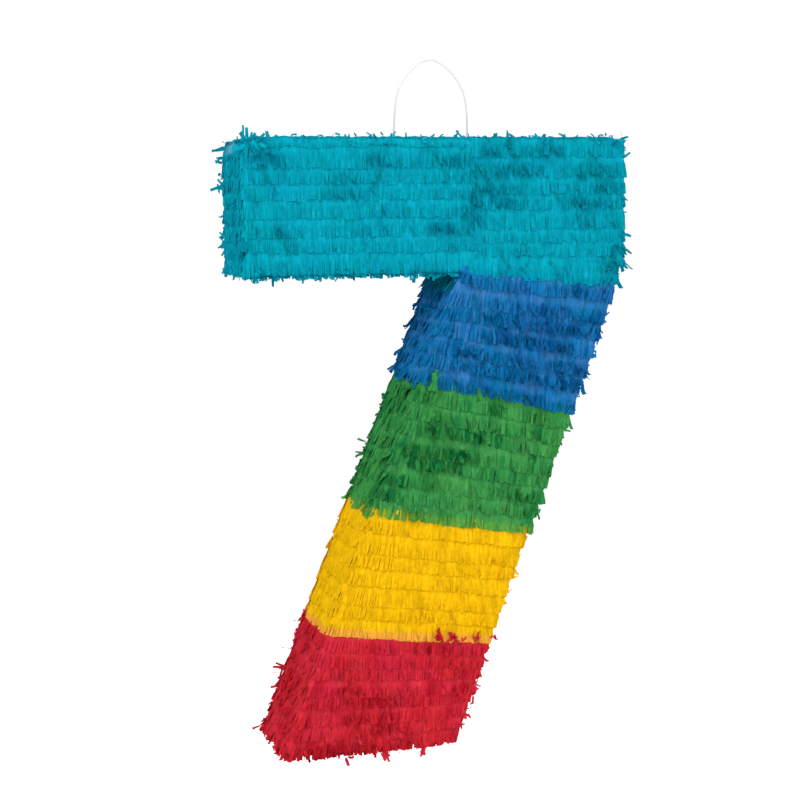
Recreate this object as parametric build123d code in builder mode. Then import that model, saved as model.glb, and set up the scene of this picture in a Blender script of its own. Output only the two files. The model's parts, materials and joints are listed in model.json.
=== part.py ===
"""A hanging number-seven pinata: a corrugated-board case, taped along its edges and covered in
bands of tissue-paper fringe, with a filling flap in its back and a nylon hanging loop.

Millimetres. +Z up, +X to the right as seen from the front, and the front faces -Y.
The origin is the top of the hanging loop, where the rope carries it. The seven hangs below it.
"""

from build123d import *
import math
import os

# Outside of the covered seven
WIDTH = 356.0
HEIGHT = 546.0
DEPTH = 82.0
BAR_HEIGHT = 115.0
END_HEIGHT = 105.0  # the upright part of the bar's right end
INNER_CORNER = 196.0  # from the left end to the corner under the bar
FOOT_LEFT = 26.0
FOOT_RIGHT = 191.0

# Board, tape and tissue
BOARD = 3.0
FRINGE = 3.0  # the fluffed tissue over the board
TAPE = 0.2
TAPE_WIDTH = 15.0
UNDERLAY = 0.25  # glue and tape between the board and the tissue
COLOURS = ("teal", "blue", "green", "yellow", "red")
# Where each colour ends, down from the top: at the inner edge of the leg, and at its outer edge
BAND_ENDS = ((BAR_HEIGHT, 131.0), (216.0, 248.0), (333.0, 357.0), (438.0, 458.0))

# Hanging loop, a stiff nylon cord
CORD = 1.7
LOOP_HEIGHT = 74.0  # from the top of the tissue to the middle of the cord
LOOP_FROM_LEFT = 182.0  # from the seven's left end to the loop's middle
PIVOT_HEIGHT = 1.2  # the loop turns in its holes this far above the tissue
PIVOT_GAP = 1.2
HOLES_X = (-35.0, 34.5)
CORD_HOLE = 2.5
KNOT = 6.0
TAIL = 8.0  # left over below each knot
HANGER = (120.0, 50.0, 3.0)

# Filling flap in the back of the bar
FLAP_WIDTH = 100.0
FLAP_HEIGHT = 62.0
FLAP_DOWN = 34.0  # its crease, below the top of the bar
FLAP_FROM_LEFT = 142.0  # its middle, from the left end
KERF = 0.6
FLAP_CORNER = 8.0
FLAP_TISSUE_DOWN = 5.0  # bare board below the crease, so that the tissue clears it
CREASE_CLEARANCE = 1.5

LEFT = -LOOP_FROM_LEFT
TOP = -LOOP_HEIGHT
PIVOT_Z = TOP + PIVOT_HEIGHT
SKIN_BACK = DEPTH / 2
BOARD_BACK = SKIN_BACK - FRINGE
WALL_BACK = BOARD_BACK - BOARD
TAPE_BACK = BOARD_BACK + TAPE
TISSUE_BACK = BOARD_BACK + UNDERLAY
WALL_TOP_INSIDE = TOP - FRINGE - BOARD
CREASE_Z = TOP - FLAP_DOWN
FLAP_X = LEFT + FLAP_FROM_LEFT

# The outline's corners, clockwise from the top left, and the edge that starts at each
SEVEN = [
    (LEFT, TOP),
    (LEFT + WIDTH, TOP),
    (LEFT + WIDTH, TOP - END_HEIGHT),
    (LEFT + FOOT_RIGHT, TOP - HEIGHT),
    (LEFT + FOOT_LEFT, TOP - HEIGHT),
    (LEFT + INNER_CORNER, TOP - BAR_HEIGHT),
    (LEFT, TOP - BAR_HEIGHT),
]
EDGES = ("top", "right_end", "outer_leg", "foot", "inner_leg", "bar_underside", "left_end")
OUTER_LEG = EDGES.index("outer_leg")
INNER_LEG = EDGES.index("inner_leg")


def inset(corners, distance):
    """The clockwise outline with every edge moved inward, its corners mitred."""
    count = len(corners)
    normals = []
    for i in range(count):
        (x0, z0), (x1, z1) = corners[i], corners[(i + 1) % count]
        length = math.hypot(x1 - x0, z1 - z0)
        normals.append(((z1 - z0) / length, (x0 - x1) / length))
    moved = []
    for i, (x, z) in enumerate(corners):
        (ax, az), (bx, bz) = normals[i - 1], normals[i]
        reach = distance / (1 + ax * bx + az * bz)
        moved.append((x + (ax + bx) * reach, z + (az + bz) * reach))
    return moved


def on_edge(corners, edge, down):
    """The point of a sloping edge that lies this far below the top of the seven."""
    (x0, z0), (x1, z1) = corners[edge], corners[(edge + 1) % len(corners)]
    z = TOP - down
    return (x0 + (x1 - x0) * (z - z0) / (z1 - z0), z)


def plate(label, corners, front, back):
    """A flat piece with this outline, from y = front to y = back."""
    with BuildPart() as piece:
        with BuildSketch(Plane.XZ.offset(-back)):
            with BuildLine():
                Polyline(*corners, close=True)
            make_face()
        extrude(amount=back - front)
    piece.part.label = label
    return piece.part


def save(solid):
    """Write a finished piece to its own file, under its label."""
    export_step(solid, f"parts/{solid.label}.step")


def side_strip(outer, inner, edge, start=None, end=None):
    """The outline of a strip along one edge, between two depths below the top if they are given."""
    after = (edge + 1) % len(outer)
    first = (outer[edge], inner[edge])
    last = (outer[after], inner[after])
    if start is not None:
        first = (on_edge(outer, edge, start), on_edge(inner, edge, start))
    if end is not None:
        last = (on_edge(outer, edge, end), on_edge(inner, edge, end))
    return [first[0], last[0], last[1], first[1]]


def front_band(number):
    """The outline of one colour on the front or back, between its two sloping ends."""
    if number == 0:
        right = on_edge(SEVEN, OUTER_LEG, BAND_ENDS[0][1])
        return [SEVEN[0], SEVEN[1], SEVEN[2], right, SEVEN[5], SEVEN[6]]
    upper_left, upper_right = BAND_ENDS[number - 1]
    upper = [on_edge(SEVEN, INNER_LEG, upper_left), on_edge(SEVEN, OUTER_LEG, upper_right)]
    if number == len(COLOURS) - 1:
        return upper + [SEVEN[3], SEVEN[4]]
    lower_left, lower_right = BAND_ENDS[number]
    return upper + [on_edge(SEVEN, OUTER_LEG, lower_right), on_edge(SEVEN, INNER_LEG, lower_left)]


def cord_holes(piece, label):
    """Pierce a piece of the top for the loop's two ends."""
    with BuildPart() as pierced:
        add(piece)
        with BuildSketch(Plane.XY.offset(PIVOT_Z)):
            with Locations(*[(x, 0) for x in HOLES_X]):
                Circle(CORD_HOLE / 2)
        extrude(amount=-LOOP_HEIGHT / 2, mode=Mode.SUBTRACT)
    pierced.part.label = label
    return pierced.part


def flap_opening(piece, label, above_crease):
    """Cut the filling opening out of a piece of the back."""
    height = FLAP_HEIGHT + above_crease
    middle = CREASE_Z + above_crease - height / 2
    with BuildPart() as cut:
        add(piece)
        with BuildSketch(Plane.XZ.offset(-DEPTH)) as hole:
            with Locations((FLAP_X, middle)):
                Rectangle(FLAP_WIDTH, height)
            fillet(hole.vertices().group_by(Axis.Y)[0], FLAP_CORNER)
        extrude(amount=DEPTH, mode=Mode.SUBTRACT)
    cut.part.label = label
    return cut.part


def flap_piece(label, gap, down, front, back):
    """A piece of the flap, its top this far below the crease."""
    height = FLAP_HEIGHT - gap - down
    with BuildPart() as piece:
        with BuildSketch(Plane.XZ.offset(-back)) as face:
            with Locations((FLAP_X, CREASE_Z - down - height / 2)):
                Rectangle(FLAP_WIDTH - 2 * gap, height)
            fillet(face.vertices().group_by(Axis.Y)[0], FLAP_CORNER - gap)
        extrude(amount=back - front)
    piece.part.label = label
    return piece.part


os.makedirs("parts", exist_ok=True)
board_outside = inset(SEVEN, FRINGE)
board_inside = inset(SEVEN, FRINGE + BOARD)
tape_outside = inset(SEVEN, FRINGE - TAPE)
tape_inside = inset(SEVEN, FRINGE + TAPE_WIDTH)
tissue_inside = inset(SEVEN, FRINGE - UNDERLAY)

# The case: a front and a back panel with a wall along every edge between them
save(plate("front_panel", board_outside, -BOARD_BACK, -WALL_BACK))
back_panel = plate("back_panel", board_outside, WALL_BACK, BOARD_BACK)
save(flap_opening(back_panel, "back_panel", 0))
for edge, name in enumerate(EDGES):
    wall = plate(f"{name}_wall", side_strip(board_outside, board_inside, edge), -WALL_BACK, WALL_BACK)
    if name == "top":
        wall = cord_holes(wall, wall.label)
    save(wall)

# The filling flap, creased along its top edge and cut on the other three
save(flap_piece("fill_flap", KERF, KERF / 2, WALL_BACK, BOARD_BACK))
save(flap_piece("flap_fringe_teal", KERF, FLAP_TISSUE_DOWN, TISSUE_BACK, SKIN_BACK))

# Gummed tape folded over each edge of the case, seven strips at the front and seven at the back
for side, facing in (("front", -1), ("back", 1)):
    strips = []
    on_panel = sorted((facing * BOARD_BACK, facing * TAPE_BACK))
    on_wall = sorted((facing * (BOARD_BACK - TAPE_WIDTH), facing * TAPE_BACK))
    for edge in range(len(EDGES)):
        with BuildPart() as strip:
            with BuildSketch(Plane.XZ.offset(-on_panel[1])):
                with BuildLine():
                    Polyline(*side_strip(board_outside, tape_inside, edge), close=True)
                make_face()
            extrude(amount=TAPE)
            with BuildSketch(Plane.XZ.offset(-on_wall[1])):
                with BuildLine():
                    Polyline(*side_strip(tape_outside, board_outside, edge), close=True)
                make_face()
            extrude(amount=on_wall[1] - on_wall[0])
        strips.append(strip.part.solid())
    save(Compound(label=f"{side}_edge_tapes", children=strips))

# Tissue fringe on the front and back, one piece to a colour
for number, colour in enumerate(COLOURS):
    outline = front_band(number)
    save(plate(f"front_fringe_{colour}", outline, -SKIN_BACK, -TISSUE_BACK))
    back = plate(f"back_fringe_{colour}", outline, TISSUE_BACK, SKIN_BACK)
    if number == 0:
        back = flap_opening(back, back.label, CREASE_CLEARANCE)
    save(back)

# Tissue fringe along the edges
for name, colour in (
    ("top", "teal"),
    ("right_end", "teal"),
    ("bar_underside", "teal"),
    ("left_end", "teal"),
    ("foot", "red"),
):
    outline = side_strip(SEVEN, tissue_inside, EDGES.index(name))
    skin = plate(f"{name}_fringe_{colour}", outline, -TAPE_BACK, TAPE_BACK)
    if name == "top":
        skin = cord_holes(skin, skin.label)
    save(skin)

outer_ends = [None] + [outer for inner, outer in BAND_ENDS] + [None]
for number, colour in enumerate(COLOURS):
    start, end = outer_ends[number], outer_ends[number + 1]
    outline = side_strip(SEVEN, tissue_inside, OUTER_LEG, start, end)
    save(plate(f"outer_leg_fringe_{colour}", outline, -TAPE_BACK, TAPE_BACK))

# The inner edge runs upward, so each band starts at its lower end
inner_ends = [None] + [inner for inner, outer in BAND_ENDS[1:]] + [None]
for number, colour in enumerate(COLOURS[1:]):
    start, end = inner_ends[number + 1], inner_ends[number]
    outline = side_strip(SEVEN, tissue_inside, INNER_LEG, start, end)
    save(plate(f"inner_leg_fringe_{colour}", outline, -TAPE_BACK, TAPE_BACK))

# Board plate glued under the top, which spreads the pull of the knots
with BuildPart() as hanger:
    with BuildSketch(Plane.XY.offset(WALL_TOP_INSIDE - HANGER[2])):
        RectangleRounded(HANGER[0], HANGER[1], HANGER[1] / 8)
    extrude(amount=HANGER[2])
save(cord_holes(hanger.part, "hanger_plate"))

# The loop's ends: each goes down through the top and the plate to a stop knot
plate_bottom = WALL_TOP_INSIDE - HANGER[2]
ends = []
for x in HOLES_X:
    with BuildPart() as end:
        with BuildSketch(Plane.XY.offset(plate_bottom - KNOT - TAIL)):
            with Locations((x, 0)):
                Circle(CORD / 2)
        extrude(amount=PIVOT_Z - plate_bottom + KNOT + TAIL)
        with Locations((x, 0, PIVOT_Z)):
            Sphere(CORD / 2)
        with Locations((x, 0, plate_bottom - KNOT / 2)):
            Sphere(KNOT / 2)
    ends.append(end.part.solid())
save(Compound(label="loop_ends_and_knots", children=ends))

# The hanging loop: straight runs joined by arcs, up from one hole and down into the other
loop_route = [
    (HOLES_X[0], PIVOT_Z + PIVOT_GAP),
    (-34.6, -48.5),
    (-30.0, -21.5),
    (-8.0, 0.0),
    (8.0, 0.0),
    (30.0, -21.0),
    (36.0, -48.0),
    (HOLES_X[1], PIVOT_Z + PIVOT_GAP),
]
radii = []
for before, here, after in zip(loop_route, loop_route[1:], loop_route[2:]):
    arriving = Vector(here[0] - before[0], here[1] - before[1])
    leaving = Vector(after[0] - here[0], after[1] - here[1])
    turn = math.radians(arriving.get_angle(leaving))
    shorter = min(arriving.length, leaving.length)
    radii.append(0.45 * shorter / math.tan(turn / 2))
print("hanging loop radii", [round(radius, 1) for radius in radii])

with BuildPart() as loop:
    with BuildLine(Plane.XZ) as path:
        FilletPolyline(*loop_route, radius=radii)
    with BuildSketch(Plane.XY.offset(loop_route[0][1])):
        with Locations((loop_route[0][0], 0)):
            Circle(CORD / 2)
    sweep(path=path.wires()[0], transition=Transition.RIGHT)
loop.part.label = "hanging_loop"
length = path.wires()[0].length
print("hanging loop", round(length, 1), "mm long, volume", round(loop.part.volume, 1))
print("section times length", round(math.pi * CORD**2 / 4 * length, 1))
save(loop.part)
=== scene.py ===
import json
import math

import bpy
import numpy as np
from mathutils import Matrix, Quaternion, Vector


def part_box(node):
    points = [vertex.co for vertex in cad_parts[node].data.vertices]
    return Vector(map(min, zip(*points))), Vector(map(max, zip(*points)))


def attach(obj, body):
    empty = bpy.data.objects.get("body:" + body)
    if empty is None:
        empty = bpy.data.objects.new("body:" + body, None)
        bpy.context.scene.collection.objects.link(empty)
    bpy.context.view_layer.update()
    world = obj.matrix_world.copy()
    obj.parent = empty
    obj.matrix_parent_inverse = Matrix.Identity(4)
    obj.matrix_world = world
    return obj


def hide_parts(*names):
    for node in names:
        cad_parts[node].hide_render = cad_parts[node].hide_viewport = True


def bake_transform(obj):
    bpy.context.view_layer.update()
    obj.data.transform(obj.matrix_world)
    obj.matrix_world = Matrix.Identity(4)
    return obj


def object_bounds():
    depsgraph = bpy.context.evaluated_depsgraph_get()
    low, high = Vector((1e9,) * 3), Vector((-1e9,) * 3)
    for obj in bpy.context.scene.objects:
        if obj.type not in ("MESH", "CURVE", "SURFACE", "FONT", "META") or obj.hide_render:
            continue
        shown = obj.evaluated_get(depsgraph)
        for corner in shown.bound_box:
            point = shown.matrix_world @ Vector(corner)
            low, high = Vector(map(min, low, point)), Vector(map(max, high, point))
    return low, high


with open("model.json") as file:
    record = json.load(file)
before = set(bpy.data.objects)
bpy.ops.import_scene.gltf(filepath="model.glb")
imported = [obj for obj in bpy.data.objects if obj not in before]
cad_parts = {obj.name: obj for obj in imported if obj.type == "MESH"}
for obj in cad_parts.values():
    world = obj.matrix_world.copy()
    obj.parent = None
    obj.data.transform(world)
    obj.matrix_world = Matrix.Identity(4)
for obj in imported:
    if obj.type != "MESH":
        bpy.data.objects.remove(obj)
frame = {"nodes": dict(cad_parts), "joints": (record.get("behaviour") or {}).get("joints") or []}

# Everything is in metres, in the frame's axes: +Z up, the front faces -Y, the loop's top is the origin.
MM = 0.001
SEED = 7
cad_low, cad_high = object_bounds()


def add_object(name, data):
    thing = bpy.data.objects.new(name, data)
    bpy.context.scene.collection.objects.link(thing)
    return thing


# ---- camera

CAMERA_AZIMUTH = -17.1
CAMERA_ELEVATION = 6.9
CAMERA_ROLL = -0.48
CAMERA_LENS = 75.75
CAMERA_DISTANCE = 1.553
AIM_OFFSET = Vector((-0.0246, 0.0077, 0.0011))  # from the middle of the CAD box


def make_camera():
    azimuth, elevation = math.radians(CAMERA_AZIMUTH), math.radians(CAMERA_ELEVATION)
    flat = math.cos(elevation)
    back = Vector((math.sin(azimuth) * flat, -math.cos(azimuth) * flat, math.sin(elevation)))
    data = bpy.data.cameras.new("camera")
    data.lens = CAMERA_LENS
    data.clip_start, data.clip_end = 0.05, 50
    camera = add_object("camera", data)
    camera.location = (cad_low + cad_high) / 2 + AIM_OFFSET + back * CAMERA_DISTANCE
    camera.rotation_mode = "QUATERNION"
    roll = Quaternion((0, 0, 1), math.radians(CAMERA_ROLL))
    camera.rotation_quaternion = (-back).to_track_quat("-Z", "Y") @ roll
    bpy.context.scene.camera = camera


make_camera()

# ---- materials


def linear(r, g, b):
    """A colour given as 0 to 255 in sRGB, as linear values."""
    return tuple(c / 255 / 12.92 if c < 11 else ((c / 255 + 0.055) / 1.055) ** 2.4 for c in (r, g, b))


class Nodes:
    """Short names for building one material's node tree."""

    def __init__(self, name):
        self.material = bpy.data.materials.new(name)
        self.material.use_nodes = True
        self.tree = self.material.node_tree
        self.shader = self.tree.nodes["Principled BSDF"]

    def add(self, kind, inputs=None, **settings):
        node = self.tree.nodes.new(kind)
        for key, value in settings.items():
            setattr(node, key, value)
        for key, value in (inputs or {}).items():
            if isinstance(value, bpy.types.NodeSocket):
                self.tree.links.new(value, node.inputs[key])
            else:
                node.inputs[key].default_value = value
        return node

    def link(self, output, socket):
        self.tree.links.new(output, self.shader.inputs[socket])

    def set(self, **values):
        for key, value in values.items():
            self.shader.inputs[key.replace("_", " ")].default_value = value

    def place(self, scale=(1, 1, 1)):
        where = self.add("ShaderNodeTexCoord")
        return self.add("ShaderNodeMapping", {"Vector": where.outputs["Object"], "Scale": scale}).outputs[0]

    def noise(self, scale, detail=4.0, stretch=(1, 1, 1)):
        inputs = {"Vector": self.place(stretch), "Scale": scale, "Detail": detail}
        return self.add("ShaderNodeTexNoise", inputs).outputs["Fac"]

    def ramp(self, factor, low, high, at=(0.3, 0.7)):
        node = self.add("ShaderNodeValToRGB", {"Fac": factor})
        node.color_ramp.elements[0].position, node.color_ramp.elements[1].position = at
        node.color_ramp.elements[0].color = (*low, 1)
        node.color_ramp.elements[1].color = (*high, 1)
        return node.outputs["Color"]

    def mix(self, factor, first, second, blend="MIX"):
        pair = [v if isinstance(v, bpy.types.NodeSocket) else (*v, 1) for v in (first, second)]
        inputs = {0: factor, 6: pair[0], 7: pair[1]}
        return self.add("ShaderNodeMix", inputs, data_type="RGBA", blend_type=blend).outputs[2]

    def math(self, operation, first, second=0.0):
        return self.add("ShaderNodeMath", {0: first, 1: second}, operation=operation).outputs[0]

    def rough(self, value, low, high):
        node = self.add("ShaderNodeMapRange", {"Value": value, "To Min": low, "To Max": high})
        self.link(node.outputs[0], "Roughness")

    def bump(self, height, strength, distance):
        node = self.add("ShaderNodeBump", {"Height": height, "Strength": strength, "Distance": distance})
        self.link(node.outputs[0], "Normal")


def tissue_material(slot):
    """Dyed tissue: each tab's own colour comes with its mesh. Here fibres and soft clouds vary it, and
    creases and streaks paint light and shade into it.
    """
    nodes = Nodes(slot)
    own = nodes.add("ShaderNodeAttribute", attribute_name="paper").outputs["Color"]
    creases = nodes.noise(420, 5, (1, 1, 0.35))
    fibres = nodes.noise(2600, 2, (1, 1, 0.5))
    clouds = nodes.noise(55, 3)
    streak_light_and_shade = nodes.noise(430, 4, (1, 1, 0.14))
    shade = own
    # The crease and streak patterns lighten and darken the colour: painted light and shade of creases and tab
    # edges.
    for pattern, low, high, at in (
        (creases, 0.9, 1.08, (0.3, 0.7)),
        (clouds, 0.93, 1.06, (0.3, 0.7)),
        (streak_light_and_shade, 0.8, 1.12, (0.3, 0.7)),
        (fibres, 0.95, 1.05, (0.35, 0.65)),
    ):
        shade = nodes.mix(1.0, shade, nodes.ramp(pattern, (low,) * 3, (high,) * 3, at), "MULTIPLY")
    nodes.link(shade, "Base Color")
    nodes.rough(creases, 0.62, 0.86)
    nodes.set(Specular_IOR_Level=0.0)
    height = nodes.math("ADD", creases, nodes.math("MULTIPLY", fibres, 0.25))
    nodes.bump(height, 0.35, 0.0006)
    return nodes.material


FLUTE_PITCH = 6.5 * MM
FLUTE_SWING = 0.9 * MM  # the fluted paper waves this far each way
FLUTE_PAPER = 0.28 * MM  # and is drawn this far each way from its middle
LINER_FROM = 1.18 * MM  # the flat papers start this far from the board's middle


def board_material(name, cut_y=None):
    """Brown corrugated board. cut_y is the middle of a panel whose cut edges show the flutes."""
    nodes = Nodes(name)
    kraft = nodes.mix(nodes.noise(900, 6, (1, 1, 0.2)), linear(168, 128, 88), linear(196, 158, 116))
    specks = nodes.ramp(nodes.noise(2400, 3), (0.72,) * 3, (1.0,) * 3, (0.28, 0.42))
    colour = nodes.mix(1.0, kraft, specks, "MULTIPLY")
    where = nodes.add("ShaderNodeTexCoord")
    split = nodes.add("ShaderNodeSeparateXYZ", {0: where.outputs["Object"]})
    flutes = nodes.math("SINE", nodes.math("MULTIPLY", split.outputs["X"], 2 * math.pi / FLUTE_PITCH))
    if cut_y is not None:
        away = nodes.math("SUBTRACT", split.outputs["Y"], cut_y)
        wave = nodes.math("MULTIPLY", flutes, FLUTE_SWING)
        off_flute = nodes.math("ABSOLUTE", nodes.math("SUBTRACT", away, wave))
        liners = nodes.math("GREATER_THAN", nodes.math("ABSOLUTE", away), LINER_FROM)
        paper = nodes.math("MAXIMUM", liners, nodes.math("LESS_THAN", off_flute, FLUTE_PAPER))
        normal = nodes.add("ShaderNodeSeparateXYZ", {0: where.outputs["Normal"]})
        edge = nodes.math("LESS_THAN", nodes.math("ABSOLUTE", normal.outputs["Y"]), 0.5)
        # The hollows between the flutes on the cut edges are painted dark brown: painted shade in the
        # hollows.
        hollow_shade = nodes.math("MULTIPLY", edge, nodes.math("SUBTRACT", 1.0, paper))
        colour = nodes.mix(hollow_shade, colour, linear(52, 36, 24))
    nodes.link(colour, "Base Color")
    nodes.rough(nodes.noise(700, 3), 0.76, 0.92)
    nodes.set(Specular_IOR_Level=0.25)
    height = nodes.math("ADD", nodes.math("MULTIPLY", flutes, 0.5), nodes.noise(1500, 4))
    nodes.bump(height, 0.3, 0.0003)
    return nodes.material


def tape_material():
    """Brown gummed paper tape, with long fibres and a little crinkle."""
    nodes = Nodes("gummed_tape")
    colour = nodes.mix(nodes.noise(700, 5), linear(176, 138, 92), linear(202, 166, 120))
    nodes.link(colour, "Base Color")
    wrinkle = nodes.noise(260, 6)
    nodes.rough(wrinkle, 0.55, 0.8)
    nodes.bump(wrinkle, 0.5, 0.0004)
    return nodes.material


def nylon_material():
    """Pale nylon cord with a fine lengthwise twist."""
    nodes = Nodes("nylon_cord")
    strands = nodes.noise(1800, 2, (1, 1, 0.3))
    colour = nodes.mix(strands, linear(218, 219, 221), linear(238, 239, 241))
    nodes.link(colour, "Base Color")
    nodes.rough(strands, 0.25, 0.45)
    nodes.bump(strands, 0.3, 0.0002)
    nodes.set(Coat_Weight=0.15)
    return nodes.material


nylon = nylon_material()

# ---- hanging loop

CORD = 1.7 * MM
# The cord's route as x and z in millimetres. It starts and ends at the swing axis, in its holes.
LOOP_ROUTE = [
    (-35.0, -72.8),
    (-34.6, -48.5),
    (-30.0, -21.5),
    (-8.0, 0.0),
    (8.0, 0.0),
    (30.0, -21.0),
    (36.0, -48.0),
    (34.5, -72.8),
]


def make_loop():
    curve = bpy.data.curves.new("hanging_loop_cord", "CURVE")
    curve.dimensions = "3D"
    curve.bevel_depth = CORD / 2
    curve.bevel_resolution = 4
    curve.resolution_u = 16
    curve.use_fill_caps = True
    spline = curve.splines.new("NURBS")
    spline.points.add(len(LOOP_ROUTE) - 1)
    for point, (x, z) in zip(spline.points, LOOP_ROUTE):
        point.co = (x * MM, 0, z * MM, 1)
    spline.order_u = 3
    spline.use_endpoint_u = True
    curve.materials.append(nylon)
    cord = add_object("hanging_loop_cord", curve)
    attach(cord, "loop")
    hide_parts("hanging_loop")


make_loop()

# ---- tissue fringe

# Each paper's colours: glued flat, the usual tab, the deepest tab, the two ways its dye leans, and
# its tips where the next band shows through them
SHADES = ("flat", "usual", "deep", "lean", "other_lean", "over")
# Painted shade darkens tabs toward the deep colour.
PAPERS = {
    "teal": ((8, 160, 182), (6, 151, 172), (4, 114, 137), (0, 160, 162), (10, 142, 182), (0, 140, 170)),
    "blue": ((58, 122, 182), (20, 113, 173), (0, 76, 132), (12, 124, 176), (34, 98, 172), (10, 104, 156)),
    "green": ((72, 153, 80), (55, 141, 70), (6, 92, 44), (76, 148, 62), (20, 132, 74), (92, 158, 62)),
    "yellow": ((237, 185, 15), (233, 180, 13), (230, 162, 4), (242, 190, 16), (236, 172, 8), (236, 158, 62)),
    "red": ((208, 52, 68), (202, 38, 52), (164, 12, 28), (212, 46, 50), (202, 38, 66), (204, 38, 52)),
}
# tab: width in mm. bare: mm left uncut below the strip above. calm and ruffled: the share of tabs that
# stand away, outside and inside ruffled patches. smooth: how rare the patches are. lift: how far tabs
# stand away. curled: the share that curls right up. drift: mm sideways. twist and crumple: radians.
# gap: how much tabs narrow to their tips. lean: how far the dye's hue wanders. mottle: and its depth.
# settled: how close the other tabs lie. The last is how much darker ruffled patches are painted, as painted
# shade between their raised tabs.
STYLE_NAMES = (
    "tab", "bare", "calm", "ruffled", "smooth", "lift", "curled", "drift", "twist", "crumple", "gap", "lean",
    "mottle", "settled", "bruised",
)
STYLES = {
    colour: dict(zip(STYLE_NAMES, values))
    for colour, *values in (
        ("teal", 2.9, 3.4, 0.03, 0.75, 1.1, 1.0, 0.008, 0.8, 0.42, 0.20, 0.10, 0.12, 0.12, 0.3, 0.55),
        ("blue", 2.7, 2.4, 0.20, 0.60, -0.1, 0.65, 0.012, 1.2, 0.60, 0.34, 0.18, 0.25, 0.26, 1.0, 0.4),
        ("green", 3.6, 1.4, 0.12, 0.55, 0.0, 0.6, 0.012, 1.5, 0.50, 0.24, 0.18, 0.15, 0.26, 1.0, 0.4),
        ("yellow", 2.8, 4.0, 0.01, 0.25, 0.9, 0.3, 0.002, 0.4, 0.12, 0.05, 0.03, 0.14, 0.07, 0.3, 0.3),
        ("red", 2.9, 1.2, 0.08, 0.50, 0.25, 0.55, 0.02, 1.2, 0.55, 0.24, 0.18, 0.30, 0.22, 1.0, 0.4),
    )
}
STRIP = 30.0 * MM  # a strip of tissue, from its glued edge to its tips
GLUE_LIFT = 1.2 * MM  # the glued edge, over the strips below, lies this far off the board
TIP_LIFT = 2.8 * MM  # and the tips this far
PLY_GAP = 0.22 * MM
WRAP = 2.4 * MM  # how far a strip turns round each end of a narrow side
WIDE_WRAP = 5.0 * MM  # and how far, over it, those of the front and back turn
WRAP_TURN, WIDE_WRAP_TURN = math.radians(45), math.radians(68)
RIM_WIDTH = 10.0 * MM  # strips rise or sink over this width to meet those round a corner
LOFT_IN, PUFF_IN = 8 * MM, 6 * MM  # and rise from the board, and bulge, over this much of their length
LEAST_HEIGHT = 0.12 * MM  # tissue is never closer to the board
TAB_STEPS = 5
STATIONS = TAB_STEPS + 3  # down each tab: three in the uncut part, then one for each step
FRINGE = 3.0 * MM
FREE_REACH, MOST_REACH = 6.0 * MM, 10.5 * MM  # tabs stand freely to the first, and never past the second

tissue = {colour: tissue_material(f"tissue_{colour}") for colour in PAPERS}


def unit(v):
    return v / np.linalg.norm(v, axis=-1, keepdims=True)


def ripple(rng, x, wavelengths, size):
    """A smooth uneven wave along x. Wavelengths and size are in millimetres."""
    total = np.zeros_like(x)
    for wavelength in wavelengths:
        phase, height = rng.uniform(0, 2 * math.pi), rng.uniform(0.5, 1.0)
        total += np.sin(x * 2 * math.pi / (wavelength * MM) + phase) * height
    return total * size * MM / len(wavelengths)


class Field:
    """A smooth uneven value through space, mostly between -1 and 1."""

    def __init__(self, seed, shortest, longest, waves=14):
        rng = np.random.default_rng([SEED, seed])
        spread = 2 * math.pi / (rng.uniform(shortest, longest, waves) * MM)
        self.waves = unit(rng.normal(size=(waves, 3))) * spread[:, None]
        self.phases = rng.uniform(0, 2 * math.pi, waves)

    def at(self, points):
        return np.sin(points @ self.waves.T + self.phases).sum(1) / math.sqrt(len(self.phases))


ruffles = Field(1, 30, 110)
dye = Field(2, 10, 60)
# Where handling has ruffled the front of the teal bar, as x and z in millimetres
HANDLED = [
    (27, -124), (28, -140), (43, -86), (30, -98), (8, -99), (62, -94), (99, -87), (84, -92), (138, -97),
    (155, -115), (56, -126), (129, -128), (40, -112), (75, -106), (136, -140), (-63, -90), (-98, -111),
    (-160, -86),
]
HANDLED_SIZE = 10 * MM


class Face:
    """A flat side of the case: which way it looks, what its two ends turn into, and which way tabs hang.
    droop is how far tabs hang away from it, lift how freely they stand away, stray the share that sticks
    right out, splay the share that fans out past each end, ragged how uneven the tips are, turn how much
    tabs twist, broad how wide they are, thick how far the strips build up, and puff how much they bulge,
    all against the usual. loft is how many mm further off the board they lie, rim the same at each end,
    curl how many radians their tips bend away, and deep how dark they are."""

    # deep paints the tabs darker toward the deep colour, as painted shade; below zero it paints them lighter,
    # as painted light
    droop, lift, stray, splay, ragged = 0.0, 1.0, 0.0, (0.0, 0.0), 1.0
    turn, broad, thick, puff, loft, deep = 1.0, 1.0, 1.0, 1.0, 0.0, 0.0
    rim, curl = (0.0, 0.0), 0.0

    def __init__(self, normal, left, right, down, left_down=None, right_down=None, **habits):
        self.normal, self.left, self.right, self.down = normal, left, right, down
        self.left_down = down if left_down is None else left_down
        self.right_down = down if right_down is None else right_down
        vars(self).update(habits)

    def loft_at(self, place, width):
        """How far off the board a strip lies along its width, where it meets the strips round each corner."""
        at_left = np.clip(1 - place / RIM_WIDTH, 0, 1) ** 2
        at_right = np.clip(1 - (width - place) / RIM_WIDTH, 0, 1) ** 2
        rise = (self.rim[0] - self.loft) * at_left + (self.rim[1] - self.loft) * at_right
        return (self.loft + rise) * MM

    def down_at(self, share):
        """The way tabs hang, from the left end at 0 to the right end at 1."""
        left = np.clip(1 - share / 0.2, 0, 1)[:, None]
        right = np.clip((share - 0.75) / 0.25, 0, 1)[:, None]
        return unit(self.left_down * left + self.right_down * right + self.down * (1 - left - right))


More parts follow.
